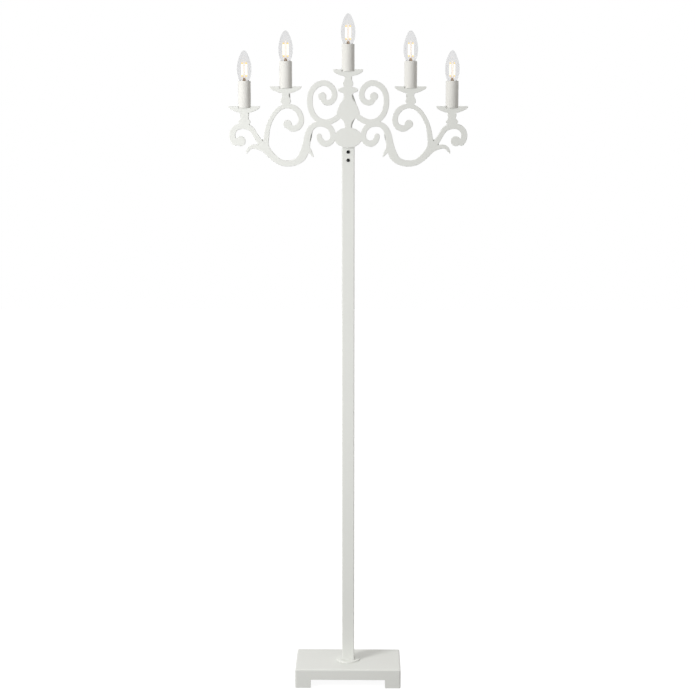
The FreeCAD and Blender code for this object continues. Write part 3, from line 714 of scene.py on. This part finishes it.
# %% Glass
glass_low, glass_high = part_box("bulb_glass_centre")
glass_radius = (glass_high.x - glass_low.x) / 2
glass_height = glass_high.z - glass_low.z
glass_foot = glass_low.z - sleeve_low.z
glass_wall = 0.0006
glass_sides = 32
glass_levels = 2
glass_rings = (
    (0.377, 0.000), (0.400, 0.012), (0.590, 0.050), (0.755, 0.110), (0.890, 0.210), (0.975, 0.310),
    (1.010, 0.420), (0.988, 0.530), (0.910, 0.630), (0.785, 0.735), (0.635, 0.825), (0.490, 0.898),
    (0.345, 0.955), (0.180, 0.991), (0.000, 1.003),
)

bulb = spun("bulb_glass", [(glass_radius * r, glass_foot + glass_height * h) for r, h in glass_rings],
            glass_sides)
soft = bulb.modifiers.new("soft", "SUBSURF")
soft.levels = glass_levels
soft.render_levels = glass_levels
wall = bulb.modifiers.new("wall", "SOLIDIFY")
wall.thickness = glass_wall
wall.offset = -1
apply_all(bulb)
smooth(bulb, degrees=60)
share_out(bulb, glass, "bulb_", "bulb_glass_")

# %% [markdown]
# ### Cap
#
# The screw cap has a rolled round thread. One turn of it is a short wavy line, and the Screw
# modifier winds that line upwards as often as the cap needs.

# %% Thread
cap_low, cap_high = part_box("bulb_cap_centre")
cap_radius = (cap_high.x - cap_low.x) / 2
cap_foot = cap_low.z - sleeve_low.z
cap_top = cap_foot + (cap_high.z - cap_low.z)
cap_sides = 48
thread_pitch = 0.00282
thread_depth = 0.0005
thread_turns = 5
wave_steps = 8

wave = [(cap_radius - thread_depth * (1 + math.cos(math.tau * k / wave_steps)) / 2,
         thread_pitch * k / wave_steps) for k in range(wave_steps + 1)]
cap = drawn("bulb_cap", [Vector((r, 0, cap_foot + h)) for r, h in wave])
winding = cap.modifiers.new("winding", "SCREW")
winding.steps = cap_sides
winding.render_steps = cap_sides
winding.iterations = thread_turns
winding.screw_offset = thread_pitch
winding.use_merge_vertices = True
apply_all(cap)

# %% Cap
root_radius = cap_radius - thread_depth
collar_low = cap_foot + thread_pitch * (thread_turns + 1) - thread_depth
collar = spun("cap_collar", [(root_radius, cap_foot + thread_pitch / 2), (root_radius, collar_low),
                             (cap_radius, collar_low + thread_depth),
                             (cap_radius, cap_top - thread_depth), (root_radius, cap_top)], cap_sides)
pick(cap, collar)
bpy.ops.object.join()
smooth(cap, degrees=50)
share_out(cap, finishes["cap_metal"], "bulb_", "bulb_cap_")

# %% [markdown]
# ### Filaments
#
# Four slim sticks stand in a square between two wire stars, over a pinched glass stem. They are
# capsules, so that their ends are round, with a dimmer tip at each end where the phosphor thins.

# %% Four of a kind
stick_count = 4
stick_spread = 0.0068
stick_turn = math.radians(38)


def stick_angle(k):
    """Direction of one stick from the bulb's axis."""
    return stick_turn + k * math.tau / stick_count


def four(piece):
    """Piece made on the axis, set out as four about it, as one mesh."""
    copies = []
    for k in range(stick_count):
        angle = stick_angle(k)
        place = Vector((stick_spread * math.cos(angle), stick_spread * math.sin(angle), 0))
        copy = bpy.data.objects.new(piece.name + "_part", piece.data.copy())
        bpy.context.scene.collection.objects.link(copy)
        copies.append(moved(copy, place))
    pick(*copies)
    bpy.ops.object.join()
    copies[0].name = piece.name
    bpy.data.objects.remove(piece)
    return copies[0]


# %% Sticks
stick_foot = 0.0725
stick_length = 0.0335
stick_top = stick_foot + stick_length
stick_radius = 0.0010
tip_length = 0.0036
tip_radius = 0.0009
arc_steps = 4
rod_sides = 16


def capsule(name, radius, low, high):
    """Upright rod with round ends."""
    arc = [math.pi / 2 * k / arc_steps for k in range(arc_steps + 1)]
    foot = [(radius * math.sin(a), low + radius * (1 - math.cos(a))) for a in arc]
    head = [(radius * math.sin(a), high - radius * (1 - math.cos(a))) for a in reversed(arc)]
    return spun(name, foot + head, rod_sides)


lit_low, lit_high = stick_foot + tip_length, stick_top - tip_length
sticks = four(capsule("filament_stick", stick_radius, lit_low, lit_high))
smooth(sticks)
share_out(sticks, finishes["filament"], "bulb_", "bulb_filaments_")
for name, low, high in (("stick_foot", stick_foot, lit_low + stick_radius),
                        ("stick_head", lit_high - stick_radius, stick_top)):
    tips = four(capsule(name, tip_radius, low, high))
    smooth(tips)
    share_out(tips, end_glow, "bulb_")

# %% Stem
stem_bite = 0.0005
stem_sides = 32
stem_profile = [(0.0044, glass_foot + stem_bite), (0.0042, 0.0640), (0.0036, 0.0665), (0.0028, 0.0690),
                (0.0018, 0.0705), (0, 0.0710)]

stem = spun("filament_stem", stem_profile, stem_sides)
smooth(stem, degrees=60)
share_out(stem, stem_glass, "bulb_")

# %% Wires
wire_radius = 0.00025
wire_sides = 8
wire_inset = 0.0004
wire_profile = [(0, 0), (wire_radius, 0), (wire_radius, stick_spread), (0, stick_spread)]

arms = []
for level in (stick_foot + wire_inset, stick_top - wire_inset):
    for k in range(stick_count):
        arm = spun("wire_arm", wire_profile, wire_sides)
        arm.data.transform(Matrix.Rotation(math.pi / 2, 4, "Y"))
        arm.data.transform(Matrix.Rotation(stick_angle(k), 4, "Z"))
        arms.append(moved(arm, Vector((0, 0, level))))
wires = arms[0]
pick(*arms)
bpy.ops.object.join()
wires.name = "filament_wires"
smooth(wires)
share_out(wires, finishes["cap_metal"], "bulb_")

# %% Mast
# Painted glow: the mast shines with a glow of its own for the light it catches from the sticks.
mast_radius = 0.0006
mast_foot = 0.0700
mast_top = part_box("bulb_filaments_centre")[1].z - sleeve_low.z

mast = capsule("filament_mast", mast_radius, mast_foot, mast_top)
smooth(mast)
share_out(mast, painted_mast_glow, "bulb_")
